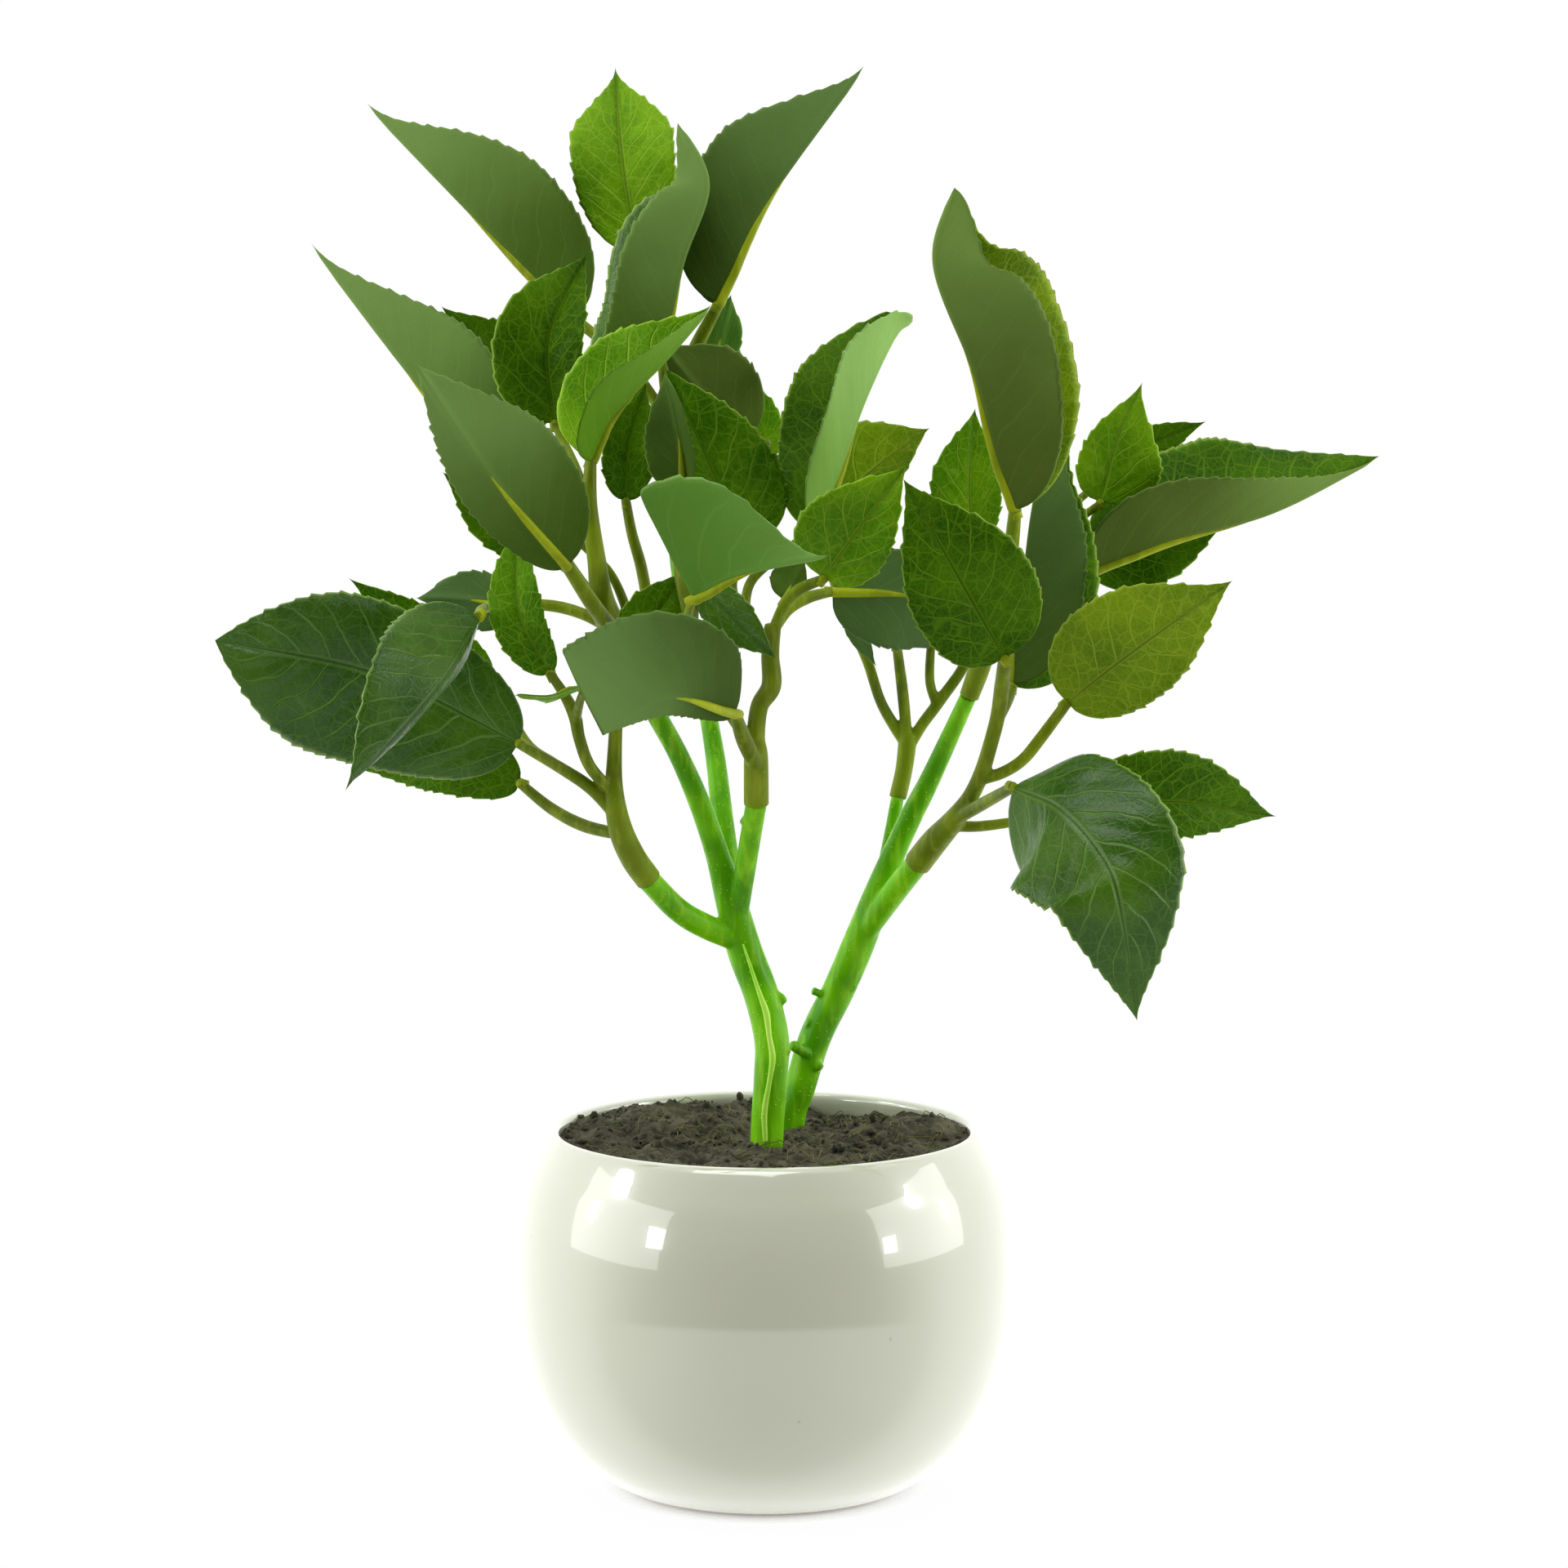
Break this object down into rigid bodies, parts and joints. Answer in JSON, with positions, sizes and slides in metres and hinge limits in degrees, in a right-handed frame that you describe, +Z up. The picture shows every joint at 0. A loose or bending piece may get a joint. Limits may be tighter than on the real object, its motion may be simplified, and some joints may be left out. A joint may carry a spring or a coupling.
{
  "type": "potted basil plant",
  "caption": "Artificial basil-type plant with folded serrated leaves on two moulded stems, standing in soil in a round white glazed pot",
  "frame": {"origin": "centre of the pot's flat foot, on the surface that the pot stands on", "axes": "+Z up along the pot's axis, -Y the front face of the plant, +X to the right of someone facing that front"},
  "size_m": [0.2308, 0.1416, 0.2854],
  "materials": {
    "pot_glaze": "thick glossy white glaze on fired clay",
    "soil": "dark loose crumbs glued into a plug",
    "stem_plastic": "bright green moulded plastic, satin gloss",
    "twig_plastic": "olive green moulded plastic, satin",
    "leaf_dark": "printed upper face, dark green with paler veins, slight sheen",
    "leaf_mid": "printed, mid green",
    "leaf_lime": "printed, bright yellow green",
    "leaf_grey": "unprinted underside, matte grey green"
  },
  "bodies": {
    "root": {"leaf_back_lit": "leaf_lime", "leaf_back_olive": "leaf_mid", "leaf_behind_low": "leaf_dark", "leaf_center_lime": "leaf_lime", "leaf_center_small": "leaf_grey", "leaf_droop_front": "leaf_dark", "leaf_droop_rear": "leaf_mid", "leaf_far_dark": "leaf_dark", "leaf_far_long": "leaf_dark", "leaf_far_yellow": "leaf_lime", "leaf_front_low": "leaf_grey", "leaf_front_pale": "leaf_mid", "leaf_hang_small": "leaf_mid", "leaf_heart_dark": "leaf_dark", "leaf_heart_grey": "leaf_grey", "leaf_heart_lime": "leaf_lime", "leaf_heart_low": "leaf_dark", "leaf_left_big": "leaf_dark", "leaf_left_broad": "leaf_grey", "leaf_left_dark": "leaf_dark", "leaf_left_inner": "leaf_mid", "leaf_left_long": "leaf_grey", "leaf_left_low": "leaf_dark", "leaf_left_over": "leaf_grey", "leaf_left_rear": "leaf_grey", "leaf_left_sliver": "leaf_mid", "leaf_left_thin": "leaf_mid", "leaf_left_tuck": "leaf_dark", "leaf_mid_bright": "leaf_lime", "leaf_mid_fold": "leaf_grey", "leaf_mid_narrow": "leaf_dark", "leaf_right_broad": "leaf_dark", "leaf_right_fold": "leaf_dark", "leaf_right_hidden": "leaf_dark", "leaf_right_inner": "leaf_dark", "leaf_right_sliver": "leaf_dark", "leaf_right_strip": "leaf_grey", "leaf_right_tall": "leaf_grey", "leaf_right_under": "leaf_grey", "leaf_right_yellow": "leaf_lime", "leaf_tall_hook": "leaf_dark", "leaf_top_bud": "leaf_mid", "leaf_top_curl": "leaf_mid", "leaf_top_dark": "leaf_dark", "leaf_top_left": "leaf_grey", "leaf_top_mid": "leaf_lime", "leaf_top_right": "leaf_grey", "pot": "pot_glaze", "soil": "soil", "stem_left": "stem_plastic", "stem_right": "stem_plastic", "twig_back_right": "twig_plastic", "twig_center": "twig_plastic", "twig_left": "twig_plastic", "twig_right": "twig_plastic", "twig_right_top": "twig_plastic", "twig_top": "twig_plastic", "twig_upper_left": "twig_plastic"}
  },
  "joints": []
}
